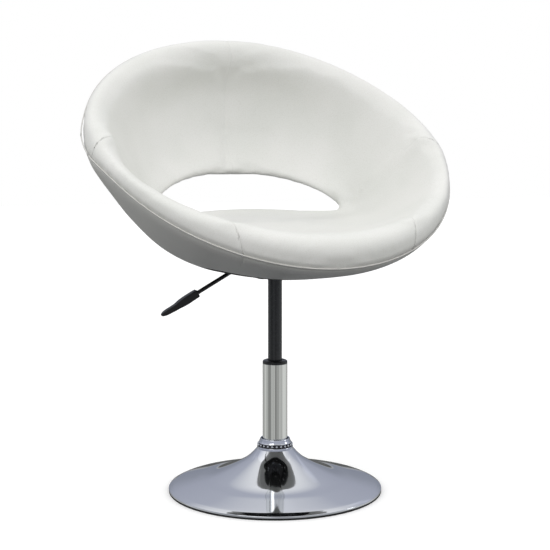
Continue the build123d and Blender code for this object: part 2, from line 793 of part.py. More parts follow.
def main():
    save(make_floor_ring(), "floor_ring")
    save(make_base_shell(), "base_shell")
    save(make_base_web(), "base_web")
    save(make_taper_hub(), "taper_hub")
    save(make_collar(), "collar")
    save(make_column_tube(), "column_tube")
    save(make_column_cap(), "column_cap")
    save(make_guide_bush(), "guide_bush")
    save(make_gas_cylinder(), "gas_cylinder")
    save(make_piston_rod(), "piston_rod")
    save(make_piston_head(), "piston_head")
    save(make_rod_guide(), "rod_guide")
    save(make_lower_race(), "lower_race")
    save(make_bearing_cage(), "bearing_cage")
    save(make_bearing_balls(), "bearing_balls")
    save(make_upper_race(), "upper_race")
    save(make_bumper(), "bumper")
    save(make_rod_washer(), "rod_washer")
    save(make_spring_clip(), "spring_clip")
    save(make_release_pin(), "release_pin")
    save(make_mechanism_plate(), "mechanism_plate")
    save(make_taper_socket(), "taper_socket")
    save(make_lever_bracket(), "lever_bracket")
    save(make_pivot_pin(), "pivot_pin")
    save(make_lever_rod(), "lever_rod")
    save(make_lever_grip(), "lever_grip")
    save(make_plate_bolts(), "plate_bolts")
    save(make_lock_washers(), "lock_washers")
    save(make_tee_nuts(), "tee_nuts")
    save(make_seat_board(), "seat_board")
    save(make_board_screws(), "board_screws")
    save(make_bucket_shell(), "bucket_shell")
    welt = make_welt_half()
    save(welt, "welt_left")
    save(mirrored(welt), "welt_right")
    for side, place in ((1, "pad"), (-1, "underpad")):
        save(pad(-FRONT_SEAM, FRONT_SEAM, FRONT_STEPS, side), f"seat_{place}")
        flank = pad(FRONT_SEAM, SIDE_SEAM, SIDE_STEPS, side)
        back = pad(SIDE_SEAM, 180, BACK_STEPS, side)
        save(flank, f"side_{place}_left")
        save(mirrored(flank), f"side_{place}_right")
        save(back, f"back_{place}_left")
        save(mirrored(back), f"back_{place}_right")


main()
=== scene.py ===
"""Swivel bucket chair: a leather-covered ring bowl on a gas lift and a chromed trumpet base."""

from math import cos, pi, radians, sin

import bmesh
import bpy
from mathutils import Matrix, Vector
from mathutils.geometry import interpolate_bezier
from mathutils.kdtree import KDTree


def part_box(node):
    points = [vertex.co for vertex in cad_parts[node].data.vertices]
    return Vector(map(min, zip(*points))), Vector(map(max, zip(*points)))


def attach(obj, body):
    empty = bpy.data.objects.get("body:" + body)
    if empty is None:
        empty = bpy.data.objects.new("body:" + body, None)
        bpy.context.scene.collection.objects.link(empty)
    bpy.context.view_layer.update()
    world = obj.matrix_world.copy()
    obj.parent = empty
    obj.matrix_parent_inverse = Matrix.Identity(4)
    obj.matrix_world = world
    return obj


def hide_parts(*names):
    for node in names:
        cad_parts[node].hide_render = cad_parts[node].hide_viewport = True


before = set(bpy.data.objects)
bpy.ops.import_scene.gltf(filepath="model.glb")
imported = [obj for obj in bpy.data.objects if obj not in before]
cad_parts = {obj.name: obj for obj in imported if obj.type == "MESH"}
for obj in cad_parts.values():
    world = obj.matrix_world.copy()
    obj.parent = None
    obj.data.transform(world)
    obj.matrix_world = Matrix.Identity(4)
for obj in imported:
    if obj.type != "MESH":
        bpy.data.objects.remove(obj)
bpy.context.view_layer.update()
MM = 0.001
SIDES = ("left", "right")
CAMERA_TURN = radians(-20.5)    # the camera stands a little to the sitter's right


# ------------------------------------------------------------------ materials
def linear(hex_code):
    """sRGB hex to the linear colour that the shaders use."""
    parts = [int(hex_code[i:i + 2], 16) / 255 for i in (0, 2, 4)]
    return [p / 12.92 if p <= 0.04045 else ((p + 0.055) / 1.055) ** 2.4 for p in parts] + [1.0]


def add(tree, kind, sockets=None, **settings):
    """Adds a node. Settings are its own; sockets maps inputs to values or to other outputs."""
    made = tree.nodes.new("ShaderNode" + kind)
    for key, value in settings.items():
        setattr(made, key, value)
    for key, value in (sockets or {}).items():
        if isinstance(value, bpy.types.NodeSocket):
            tree.links.new(value, made.inputs[key])
        else:
            made.inputs[key].default_value = value
    return made


def material(name, **values):
    """A principled material; returns it with its tree, its shader and object coordinates."""
    made = bpy.data.materials.new(name)
    made.use_nodes = True
    tree = made.node_tree
    shader = tree.nodes["Principled BSDF"]
    for key, value in values.items():
        shader.inputs[key.replace("_", " ")].default_value = value
    place = add(tree, "TexCoord").outputs["Object"]
    return made, tree, shader, place


def ramp(tree, source, low, high, start, end):
    """Two colours or greys blended between two levels of a pattern."""
    made = add(tree, "ValToRGB", {"Fac": source})
    made.color_ramp.elements[0].position, made.color_ramp.elements[0].color = start, low
    made.color_ramp.elements[1].position, made.color_ramp.elements[1].color = end, high
    return made.outputs["Color"]


def spread(tree, source, low, high):
    """A 0..1 pattern turned into a value between low and high."""
    return add(tree, "MapRange", {"Value": source, "To Min": low, "To Max": high}).outputs["Result"]


def per_metre(size_mm):
    """Pattern scale for cells of this size in millimetres."""
    return 1000.0 / size_mm


def black_cambric():
    """Non-woven black dust cover, stapled over the underside: matte, with a felted surface."""
    made, tree, shader, place = material("black_cambric", Roughness=0.95)
    felt = add(tree, "TexNoise", {"Vector": place, "Scale": per_metre(1.1), "Detail": 5.0})
    tree.links.new(ramp(tree, felt.outputs["Fac"], linear("060606"), linear("121213"), 0.3, 0.7),
                   shader.inputs["Base Color"])
    bump = add(tree, "Bump", {"Strength": 0.3, "Distance": 0.2 * MM,
                              "Height": felt.outputs["Fac"]})
    tree.links.new(bump.outputs["Normal"], shader.inputs["Normal"])
    return made


def white_leatherette():
    """Polyurethane-coated leatherette: warm white, embossed with a fine pebble grain, satin.
    The grain is 1.4 mm pebbles with finer creases between, and broad areas vary slightly. The gaps
    between the pebbles are painted darker: painted shade in the grain."""
    made, tree, shader, place = material("white_leatherette", IOR=1.5, Specular_IOR_Level=0.45)
    pebble = add(tree, "TexVoronoi", {"Vector": place, "Scale": per_metre(1.4), "Randomness": 0.9},
                 feature="SMOOTH_F1").outputs["Distance"]
    crease = add(tree, "TexNoise", {"Vector": place, "Scale": per_metre(0.7), "Detail": 3.0})
    cloud = add(tree, "TexNoise", {"Vector": place, "Scale": per_metre(140), "Detail": 2.0})
    handled = add(tree, "TexNoise", {"Vector": place, "Scale": per_metre(35), "Detail": 4.0})
    tint = ramp(tree, cloud.outputs["Fac"], linear("E3E4E0"), linear("E9E9E6"), 0.35, 0.65)
    # the gaps between the pebbles are painted darker: painted shade in the grain
    grain_gap_shade = ramp(tree, pebble, linear("FFFFFF"), linear("E8E6E0"), 0.35, 0.9)
    colour = add(tree, "MixRGB", {"Fac": 0.5, "Color1": tint, "Color2": grain_gap_shade}, blend_type="MULTIPLY")
    tree.links.new(colour.outputs["Color"], shader.inputs["Base Color"])
    tree.links.new(spread(tree, handled.outputs["Fac"], 0.36, 0.52), shader.inputs["Roughness"])
    height = add(tree, "Math", {0: pebble, 1: crease.outputs["Fac"]}, operation="SUBTRACT")
    bump = add(tree, "Bump", {"Strength": 0.16, "Distance": 0.12 * MM,
                              "Height": height.outputs["Value"]}, invert=True)
    tree.links.new(bump.outputs["Normal"], shader.inputs["Normal"])
    return made


def shaded_piping_leatherette():
    """The same leatherette pulled tight over a cord: its grain is stretched flat. Its colour is a
    darker grey than the cover's: painted shade along the piping.
    """
    made, tree, shader, place = material("shaded_piping_leatherette", IOR=1.5, Roughness=0.4)
    fine = add(tree, "TexNoise", {"Vector": place, "Scale": per_metre(0.9), "Detail": 3.0})
    # darker grey than the cover's leather: painted shade along the piping
    tint = ramp(tree, fine.outputs["Fac"], linear("CFCECA"), linear("DCDBD7"), 0.3, 0.7)
    tree.links.new(tint, shader.inputs["Base Color"])
    bump = add(tree, "Bump", {"Strength": 0.12, "Distance": 0.1 * MM,
                              "Height": fine.outputs["Fac"]})
    tree.links.new(bump.outputs["Normal"], shader.inputs["Normal"])
    return made


def chrome_plate(name, colour, roughness):
    """Decorative chrome over polished steel: mirror bright, with faint polishing haze."""
    made, tree, shader, place = material(name, Metallic=1.0, Base_Color=linear(colour))
    haze = add(tree, "TexNoise", {"Vector": place, "Scale": per_metre(45), "Detail": 5.0})
    scuff = add(tree, "TexNoise", {"Vector": place, "Scale": per_metre(0.8), "Detail": 2.0})
    tree.links.new(spread(tree, haze.outputs["Fac"], roughness * 0.6, roughness * 1.5),
                   shader.inputs["Roughness"])
    bump = add(tree, "Bump", {"Strength": 0.012, "Distance": 0.05 * MM,
                              "Height": scuff.outputs["Fac"]})
    tree.links.new(bump.outputs["Normal"], shader.inputs["Normal"])
    return made


def moulded_plastic(name, low, high, roughness, grain_mm):
    """Injection-moulded plastic with a spark-eroded texture of the given grain."""
    made, tree, shader, place = material(name, IOR=1.49)
    grain = add(tree, "TexNoise", {"Vector": place, "Scale": per_metre(grain_mm), "Detail": 3.0})
    wear = add(tree, "TexNoise", {"Vector": place, "Scale": per_metre(18), "Detail": 4.0})
    tree.links.new(ramp(tree, wear.outputs["Fac"], linear(low), linear(high), 0.35, 0.7),
                   shader.inputs["Base Color"])
    tree.links.new(spread(tree, wear.outputs["Fac"], roughness * 0.85, roughness * 1.15),
                   shader.inputs["Roughness"])
    bump = add(tree, "Bump", {"Strength": 0.15, "Distance": 0.08 * MM,
                              "Height": grain.outputs["Fac"]})
    tree.links.new(bump.outputs["Normal"], shader.inputs["Normal"])
    return made


def coated_steel(name, low, high, roughness, metallic, texture_mm):
    """Steel with a baked coat, or a bare one with its mill finish, as the values say."""
    made, tree, shader, place = material(name, Metallic=metallic)
    peel = add(tree, "TexNoise", {"Vector": place, "Scale": per_metre(texture_mm), "Detail": 4.0})
    tree.links.new(ramp(tree, peel.outputs["Fac"], linear(low), linear(high), 0.3, 0.7),
                   shader.inputs["Base Color"])
    tree.links.new(spread(tree, peel.outputs["Fac"], roughness * 0.8, roughness * 1.2),
                   shader.inputs["Roughness"])
    bump = add(tree, "Bump", {"Strength": 0.1, "Distance": 0.05 * MM,
                              "Height": peel.outputs["Fac"]})
    tree.links.new(bump.outputs["Normal"], shader.inputs["Normal"])
    return made


def birch_plywood():
    """Black-stained birch plywood: long fine grain on the face, 1.5 mm plies at the edge."""
    made, tree, shader, place = material("birch_plywood", Roughness=0.6)
    plies = add(tree, "Mapping", {"Vector": place, "Scale": (12.0, 90.0, 650.0)})
    grain = add(tree, "TexNoise", {"Vector": plies.outputs["Vector"], "Scale": 1.0, "Detail": 6.0})
    tree.links.new(ramp(tree, grain.outputs["Fac"], linear("0E0D0C"), linear("1F1C1A"), 0.3, 0.7),
                   shader.inputs["Base Color"])
    bump = add(tree, "Bump", {"Strength": 0.2, "Distance": 0.1 * MM,
                              "Height": grain.outputs["Fac"]})
    tree.links.new(bump.outputs["Normal"], shader.inputs["Normal"])
    return made


LEATHER = white_leatherette()
SHADED_PIPING = shaded_piping_leatherette()
DUST_COVER = black_cambric()
CHROME = chrome_plate("chrome_base_plate", "E3E5E8", 0.05)
TUBE_CHROME = chrome_plate("chrome_tube_plate", "E1E2E0", 0.07)
# dark grey chrome for the bead groove: painted shade between the beads
SHADED_GROOVE_CHROME = chrome_plate("chrome_painted_groove_shade", "3F4043", 0.25)
CAP_PLASTIC = moulded_plastic("black_nylon", "0B0B0C", "141415", 0.34, 0.5)
GRIP_PLASTIC = moulded_plastic("black_polypropylene", "080808", "111112", 0.42, 0.7)
BUSH_PLASTIC = moulded_plastic("white_acetal", "D9D8D2", "E6E5E0", 0.4, 0.8)
RUBBER = moulded_plastic("black_rubber", "0C0C0C", "171717", 0.75, 0.9)
CYLINDER_COAT = coated_steel("black_chromed_cylinder", "3A3B3D", "434446", 0.26, 0.85, 6.0)
ROD_COAT = coated_steel("black_powder_coat", "050505", "0C0C0D", 0.38, 0.0, 0.9)
BARE_STEEL = coated_steel("welded_bare_steel", "6A6B6D", "8A8B8D", 0.42, 1.0, 3.0)
GROUND_STEEL = coated_steel("ground_steel", "A5A6A8", "B9BABC", 0.22, 1.0, 0.8)
ZINC = coated_steel("zinc_plated_steel", "A9ACB1", "C3C6CA", 0.32, 1.0, 1.5)
BRASS = coated_steel("pressed_brass", "A5823F", "BF9A52", 0.35, 1.0, 1.5)
PLYWOOD = birch_plywood()

# the CAD nodes that stay visible; new pieces stand for the others
CAD_FINISH = {
    "base_web": BARE_STEEL, "taper_hub": BARE_STEEL, "guide_bush": BUSH_PLASTIC,
    "piston_rod": GROUND_STEEL, "piston_head": GROUND_STEEL, "rod_guide": ROD_COAT,
    "lower_race": GROUND_STEEL, "bearing_cage": BRASS, "bearing_balls": GROUND_STEEL,
    "upper_race": GROUND_STEEL, "bumper": RUBBER, "rod_washer": ZINC, "spring_clip": ZINC,
    "release_pin": GROUND_STEEL, "mechanism_plate": ROD_COAT, "taper_socket": ROD_COAT,
    "lever_bracket": ROD_COAT, "pivot_pin": ZINC, "plate_bolts": ZINC, "lock_washers": ZINC,
    "tee_nuts": ZINC, "seat_board": PLYWOOD, "board_screws": ZINC,
}
for node_name, finish in CAD_FINISH.items():
    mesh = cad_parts[node_name].data
    mesh.materials.clear()
    mesh.materials.append(finish)


# ------------------------------------------------------------------ making pieces
def piece(name, bm, finish, body, smooth=True):
    """Turns a bmesh into a named piece that rides on a body."""
    mesh = bpy.data.meshes.new(name)
    for face in bm.faces:
        face.smooth = smooth
    bm.to_mesh(mesh)
    bm.free()
    made = bpy.data.objects.new(name, mesh)
    bpy.context.scene.collection.objects.link(made)
    mesh.materials.append(finish)
    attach(made, body)
    return made


def smooth_line(points, cuts=10):
    """A smooth line through (radius, height) points in millimetres."""
    pts = [Vector((r, 0, z)) * MM for r, z in points]
    line = []
    for k in range(len(pts) - 1):
        before, start, end, after = (pts[max(k - 1, 0)], pts[k], pts[k + 1],
                                     pts[min(k + 2, len(pts) - 1)])
        run = interpolate_bezier(start, start + (end - before) / 6, end - (after - start) / 6,
                                 end, cuts)
        line += [Vector(p) for p in run[:-1]]
    return line + [pts[-1]]


def spun(lines, steps=96):
    """A closed profile, in runs of points, spun round the column's axis."""
    bm = bmesh.new()
    verts = [bm.verts.new(p) for line in lines for p in line]
    edges = [bm.edges.new((a, b)) for a, b in zip(verts, verts[1:] + verts[:1])]
    bmesh.ops.spin(bm, geom=verts + edges, cent=(0, 0, 0), axis=(0, 0, 1), angle=2 * pi,
                   steps=steps, use_merge=True)
    bmesh.ops.remove_doubles(bm, verts=bm.verts, dist=1e-6)
    bmesh.ops.recalc_face_normals(bm, faces=bm.faces)
    return bm


def soften(made, width_mm, segments=3, angle=30.0):
    """Rounds the hard edges of a piece and shades it by its real faces."""
    bevel = made.modifiers.new("edges", "BEVEL")
    bevel.width = width_mm * MM
    bevel.segments = segments
    bevel.limit_method = "ANGLE"
    bevel.angle_limit = radians(angle)
    made.modifiers.new("shading", "WEIGHTED_NORMAL").keep_sharp = True
    return made


def corners(*points):
    return [Vector((r, 0, z)) * MM for r, z in points]


# ------------------------------------------------------------------ base and column
# radii in millimetres, as the CAD parts have them
RIM_R = 215.0
RING_BORE_R = 206.2
TUBE_R, TUBE_BORE_R = 25.0, 23.2
CYLINDER_R = 14.0
BEAD_COUNT, BEAD_R, BEAD_ROW_R = 24, 2.4, 34.0


def make_base():
    """Spun trumpet with a rolled rim, and the rubber ring under it."""
    rim_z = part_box("floor_ring")[1].z / MM
    trumpet = spun([
        corners((RIM_R, rim_z), (RIM_R, 6.6)),
        smooth_line([(214.6, 7.3), (209, 10.2), (200, 13.2), (160, 23.4), (120, 33.2), (61, 62),
                     (31, 92)], 10),
        corners((29.2, 92)),
        smooth_line([(29.2, 90.2), (60, 60.4), (119, 31.6), (159, 21.8), (199, 11.6),
                     (208, 8.6), (213, 5.8)], 10),
        corners((213.4, rim_z)),
    ], steps=160)
    made = piece("trumpet_base", trumpet, CHROME, "base")
    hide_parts("base_shell")

    ring = spun([corners((RING_BORE_R, 0.0), (RIM_R - 0.8, 0.0), (RIM_R, 0.8), (RIM_R, 4.0),
                         (RING_BORE_R, 4.0))],
                steps=160)
    made = soften(piece("rubber_foot_ring", ring, RUBBER, "base"), 0.5)
    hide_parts("floor_ring")


def make_collar():
    """Bell with a rolled lower edge, a groove that carries the beads, and a rolled lip. The groove
    gets a dark grey chrome: painted shade between the beads.
    """
    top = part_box("collar")[1].z / MM
    bell = spun([
        corners((27.9, top - 1.2)),
        smooth_line([(28.4, top - 0.1), (29.3, top), (30.0, top - 1.2)], 4),
        smooth_line([(30.6, top - 3.4), (32.2, top - 7.0), (33.6, top - 9.0)], 5),
        smooth_line([(32.9, top - 10.4), (32.7, top - 12.6), (33.9, top - 14.8)], 5),
        smooth_line([(35.6, top - 16.4), (36.5, top - 19.0), (37.2, top - 22.0),
                     (38.0, top - 23.6), (37.6, top - 26.2)], 5),
        corners((33.0, top - 27.0), (33.0, top - 20.0), (27.9, top - 10.0)),
    ], steps=128)
    made = piece("collar_bell", bell, CHROME, "base")
    # the groove's faces take the dark grey chrome: painted shade between the beads
    made.data.materials.append(SHADED_GROOVE_CHROME)
    groove_top, groove_floor = 9.4, 15.6
    for face in made.data.polygons:
        drop = top - face.center.z / MM
        if groove_top < drop < groove_floor:
            face.material_index = 1
    beads = bmesh.new()
    for k in range(BEAD_COUNT):
        turn = Matrix.Rotation(2 * pi * k / BEAD_COUNT, 4, "Z")
        seat = turn @ Matrix.Translation(Vector((BEAD_ROW_R, 0, top - 12.4)) * MM)
        bmesh.ops.create_uvsphere(beads, u_segments=14, v_segments=9, radius=BEAD_R * MM,
                                  matrix=seat)
    row = piece("collar_beads", beads, CHROME, "base")
    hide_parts("collar")
    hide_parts("collar")


def make_column():
    """Column tube, its moulded cap, and the gas cylinder that slides in it."""
    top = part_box("column_tube")[1].z / MM
    tube = spun([corners((TUBE_BORE_R, 80.0), (TUBE_R, 80.0), (TUBE_R, top), (TUBE_BORE_R, top))],
                steps=96)
    made = soften(piece("column_tube_chromed", tube, TUBE_CHROME, "base"), 0.3)
    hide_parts("column_tube")

    cap_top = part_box("column_cap")[1].z / MM
    cap = spun([
        corners((14.3, top - 10), (23.1, top - 10), (23.1, top), (TUBE_R, top),
                (TUBE_R, top + 3.6)),
        smooth_line([(24.8, top + 4.8), (23.6, cap_top - 0.9), (21.6, cap_top)], 5),
        corners((18.2, cap_top), (17.4, cap_top - 0.8), (15.4, cap_top - 0.8),
                (14.8, cap_top - 0.3), (14.3, cap_top - 0.8)),
    ], steps=96)
    made = piece("column_cap_moulded", cap, CAP_PLASTIC, "base")
    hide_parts("column_cap")

    low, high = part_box("gas_cylinder")
    bottom, end = low.z / MM, high.z / MM
    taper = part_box("taper_socket")[0].z / MM
    cylinder = spun([
        corners((3.1, end - 8), (11.4, end - 8), (11.4, bottom), (13.2, bottom),
                (CYLINDER_R, bottom + 0.8), (CYLINDER_R, taper), (13.6, end), (3.1, end)),
    ], steps=96)
    made = soften(piece("gas_cylinder_coated", cylinder, CYLINDER_COAT, "seat"), 0.3)
    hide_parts("gas_cylinder")


make_base()
make_collar()
make_column()


# ------------------------------------------------------------------ lever
PIVOT = Vector((-40, 0, 460)) * MM
BEND_X = -66 * MM
FALL = radians(29)
ARM = Vector((-cos(FALL), 0, -sin(FALL)))
GRIP_START = Vector((BEND_X, 0, PIVOT.z)) + ARM * 109 * MM
ROD_R = 4 * MM
GRIP_LENGTH = 84.0      # in millimetres, as the three tables in make_lever are


def level(table, t):
    """Value at t of a table of (position, value) steps, eased between them."""
    for (a, low), (b, high) in zip(table, table[1:]):
        if t <= b:
            u = (t - a) / (b - a)
            u = u * u * (3 - 2 * u)
            return low + (high - low) * u
    return table[-1][1]


def make_lever():
    """Bent rod whose end runs into the grip, and the moulded paddle."""
    route = bpy.data.curves.new("lever_route", "CURVE")
    route.dimensions = "3D"
    route.bevel_depth = ROD_R
    route.bevel_resolution = 6
    route.resolution_u = 10
    route.use_fill_caps = True
    over_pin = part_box("release_pin")[1].z + ROD_R + 0.05 * MM
    bend = Vector((BEND_X, 0, PIVOT.z))
    points = [Vector((7 * MM, 0, over_pin)), Vector((-6 * MM, 0, over_pin)), PIVOT,
              bend - Vector((-6 * MM, 0, 0)), bend + ARM * 6 * MM, bend + ARM * 120 * MM]
    spline = route.splines.new("BEZIER")
    spline.bezier_points.add(len(points) - 1)
    for k, place in enumerate(points):
        knot = spline.bezier_points[k]
        back = points[max(k - 1, 0)]
        ahead = points[min(k + 1, len(points) - 1)]
        knot.co = place
        knot.handle_left = place.lerp(back, 0.3)
        knot.handle_right = place.lerp(ahead, 0.3)
    shaped = bpy.data.objects.new("lever_route", route)
    bpy.context.scene.collection.objects.link(shaped)
    bm = bmesh.new()
    bm.from_mesh(shaped.to_mesh())
    bpy.data.objects.remove(shaped)
    bmesh.ops.remove_doubles(bm, verts=bm.verts, dist=1e-5)
    made = piece("lever_rod_coated", bm, ROD_COAT, "lever")
    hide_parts("lever_rod")

    # paddle: a bar along +X whose cross-sections are then set by its distance from the rod
    bm = bmesh.new()
    bmesh.ops.create_cube(bm, size=1.0, matrix=Matrix.Translation((0.5, 0, 0)))
    long_edges = [e for e in bm.edges if abs(e.verts[0].co.x - e.verts[1].co.x) > 0.5]
    bmesh.ops.subdivide_edges(bm, edges=long_edges, cuts=13, use_grid_fill=True)
    tops = ((0, 7.5), (0.07, 7.5), (0.3, 7.5), (0.45, 6.7), (0.62, 4.2), (0.9, 4.2), (1, 1.4))
    floors = ((0, -7.5), (0.07, -7.7), (0.35, -8.4), (0.6, -7.0), (0.9, -5.4), (1, -2.6))
    widths = ((0, 7.8), (0.07, 8.8), (0.35, 9.0), (0.62, 8.2), (0.9, 8.0), (1, 4.2))
    for v in bm.verts:
        t = v.co.x
        v.co = Vector((t * GRIP_LENGTH, 2 * v.co.y * level(widths, t),
                       level(tops if v.co.z > 0 else floors, t))) * MM
    turn = Matrix.Rotation(-FALL, 4, "Y") @ Matrix.Rotation(pi, 4, "Z")
    bmesh.ops.transform(bm, matrix=Matrix.Translation(GRIP_START) @ turn, verts=bm.verts)
    bmesh.ops.recalc_face_normals(bm, faces=bm.faces)
    rims = [e for e in bm.edges if e.calc_face_angle(0) > radians(50)]
    bmesh.ops.bevel(bm, geom=rims, offset=1.6 * MM, segments=3, profile=0.5, affect="EDGES",
                    material=-1)
    made = piece("lever_grip_moulded", bm, GRIP_PLASTIC, "lever")
    rounding = made.modifiers.new("rounding", "SUBSURF")
    rounding.levels = rounding.render_levels = 2
    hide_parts("lever_grip")


make_lever()


# ------------------------------------------------------------------ upholstery
PANELS = ("seat", "side", "back")
VOXEL_MM = 7.0          # of the skin that is melted from the pads
PUFF_CAP_MM = 3.0       # the most that the filling lifts the leather
SEAM_WIDTH_MM, SEAM_DEPTH_MM = 1.0, 1.3
SEAM_PULL_MM = 6.0      # how far from a seam its stitches still draw the leather in
GROOVE_MM, GROOVE_DEPTH_MM = 7.0, 1.2       # beside the piping
DUST_COVER_SHARE = 1.55       # the dust cover's radius, in radii of the seat board


def cad_copy(node_name):
    """A merged copy of a CAD node's mesh, ready for editing."""
    bm = bmesh.new()
    bm.from_mesh(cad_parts[node_name].data)
    bmesh.ops.remove_doubles(bm, verts=bm.verts, dist=0.02 * MM)
    return bm


def panel_nodes(kind):
    return [f"seat_{kind}"] + [f"{part}_{kind}_{side}" for part in PANELS[1:] for side in SIDES]


def points_tree(points):
    tree = KDTree(len(points))
    for k, p in enumerate(points):
        tree.insert(p, k)
    tree.balance()
    return tree


def seam_between(first, second):
    """The flat seam that two neighbouring panels share: its points, a place and a normal."""
    tree = points_tree([v.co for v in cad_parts[second].data.vertices])
    points = [v.co.copy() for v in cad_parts[first].data.vertices
              if tree.find(v.co)[2] < 0.05 * MM]
    middle = sum(points, Vector()) / len(points)
    far = max(points, key=lambda p: (p - middle).length)
    reach = (far - middle).normalized()
    aside = max(points, key=lambda p: (p - middle).cross(reach).length)
    return points, middle, reach.cross(aside - middle).normalized()


def seams(kind):
    pairs = [(f"seat_{kind}", f"side_{kind}_{side}") for side in SIDES]
    pairs += [(f"side_{kind}_{side}", f"back_{kind}_{side}") for side in SIDES]
    pairs.append((f"back_{kind}_left", f"back_{kind}_right"))
    return [seam_between(*pair) for pair in pairs]


def remeshed(nodes, voxel_mm):
    """The nodes' solids melted into one closed skin."""
    whole = bmesh.new()
    for node_name in nodes:
        whole.from_mesh(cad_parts[node_name].data)
    bmesh.ops.remove_doubles(whole, verts=whole.verts, dist=0.02 * MM)
    mesh = bpy.data.meshes.new("foam")
    whole.to_mesh(mesh)
    whole.free()
    foam = bpy.data.objects.new("foam", mesh)
    bpy.context.scene.collection.objects.link(foam)
    modifier = foam.modifiers.new("voxels", "REMESH")
    modifier.mode = "VOXEL"
    modifier.voxel_size = voxel_mm * MM
    settle(foam)
    bm = bmesh.new()
    bm.from_mesh(foam.data)
    drop_hidden_shells(bm)
    bm.to_mesh(foam.data)
    bm.free()
    return foam


def drop_hidden_shells(bm):
    """Keeps the largest connected skin: the others are pockets sealed inside it."""
    left = set(bm.verts)
    shells = []
    while left:
        start = left.pop()
        shell, edge_of_shell = {start}, [start]
        while edge_of_shell:
            v = edge_of_shell.pop()
            for e in v.link_edges:
                w = e.other_vert(v)
                if w in left:
                    left.remove(w)
                    shell.add(w)
                    edge_of_shell.append(w)
        shells.append(shell)
    shells.sort(key=len)
    for shell in shells[:-1]:
        bmesh.ops.delete(bm, geom=list(shell), context="VERTS")


def settle(made):
    """Applies every modifier of a piece to its mesh."""
    bpy.context.view_layer.update()
    shaped = bpy.data.meshes.new_from_object(
        made.evaluated_get(bpy.context.evaluated_depsgraph_get()))
    made.modifiers.clear()
    made.data = shaped


def smoothed(made, times, picked=None):
    """Evens out a skin, or only those of its points that are picked."""
    bm = bmesh.new()
    bm.from_mesh(made.data)
    verts = [v for v in bm.verts if picked is None or picked(v.co)]
    for _ in range(times):
        bmesh.ops.smooth_vert(bm, verts=verts, factor=0.5, use_axis_x=True, use_axis_y=True,
                              use_axis_z=True)
    bm.to_mesh(made.data)
    bm.free()


def opening_edge(piping):
    """Tells the points on the opening's edge, where inner and outer pads meet again."""
    trees = [points_tree([v.co for n in panel_nodes(kind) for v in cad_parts[n].data.vertices])
             for kind in ("pad", "underpad")]

    def on_edge(place):
        near_both = all(tree.find(place)[2] < 13 * MM for tree in trees)
        return near_both and piping.find(place)[2] > 60 * MM
    return on_edge


def puffed(foam, held_points, cap_mm):
    """Blows the cover up a little, held along its seams and its piping."""
    tree = points_tree(held_points)
    held = [v.index for v in foam.data.vertices if tree.find(v.co)[2] < 7 * MM]
    foam.vertex_groups.new(name="held").add(held, 1.0, "REPLACE")
    before = [v.co.copy() for v in foam.data.vertices]
    cloth = foam.modifiers.new("cloth", "CLOTH")
    cloth.settings.vertex_group_mass = "held"
    cloth.settings.use_pressure = True
    cloth.settings.uniform_pressure_force = 4.0
    cloth.settings.quality = 4
    cloth.settings.effector_weights.gravity = 0.0
    cloth.point_cache.frame_start, cloth.point_cache.frame_end = 1, 20
    for step in range(1, 21):
        bpy.context.scene.frame_set(step)
    settle(foam)
    bpy.context.scene.frame_set(1)
    foam.vertex_groups.clear()
    for v, start in zip(foam.data.vertices, before):
        move = v.co - start
        if move.length > cap_mm * MM:
            v.co = start + move.normalized() * cap_mm * MM


def sewn(bm, seam, piping, width_mm, depth_mm):
    """Cuts one seam into the cover and draws it in, as its stitches pull the leather.
    It is tight over the roll, by the piping, and hardly shows where the foam is flat."""
    points, middle, normal = seam
    tree = points_tree(points)
    reach = 30 * MM
    for offset in (-width_mm, 0.0, width_mm):
        near = [f for f in bm.faces
                if abs((f.calc_center_median() - middle).dot(normal)) < 14 * MM
                and tree.find(f.calc_center_median())[2] < reach]
        edges = {e for f in near for e in f.edges}
        verts = {v for f in near for v in f.verts}
        bmesh.ops.bisect_plane(bm, geom=list(verts) + list(edges) + near, dist=0.02 * MM,
                               plane_co=middle + normal * offset * MM, plane_no=normal)
    bm.normal_update()
    for v in bm.verts:
        away = abs((v.co - middle).dot(normal)) / MM
        if away < SEAM_PULL_MM and tree.find(v.co)[2] < reach:
            pull = max(0.0, 1 - away / SEAM_PULL_MM) ** 2 * 0.35 + (0.65 if away < 0.1 else 0.0)
            from_piping = piping.find(v.co)[2] / MM
            tight = max(0.12, min(1.0, 1.5 - from_piping / 90))
            v.co -= v.normal * pull * tight * depth_mm * MM


def piping_points():
    return [v.co.copy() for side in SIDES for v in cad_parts[f"welt_{side}"].data.vertices]


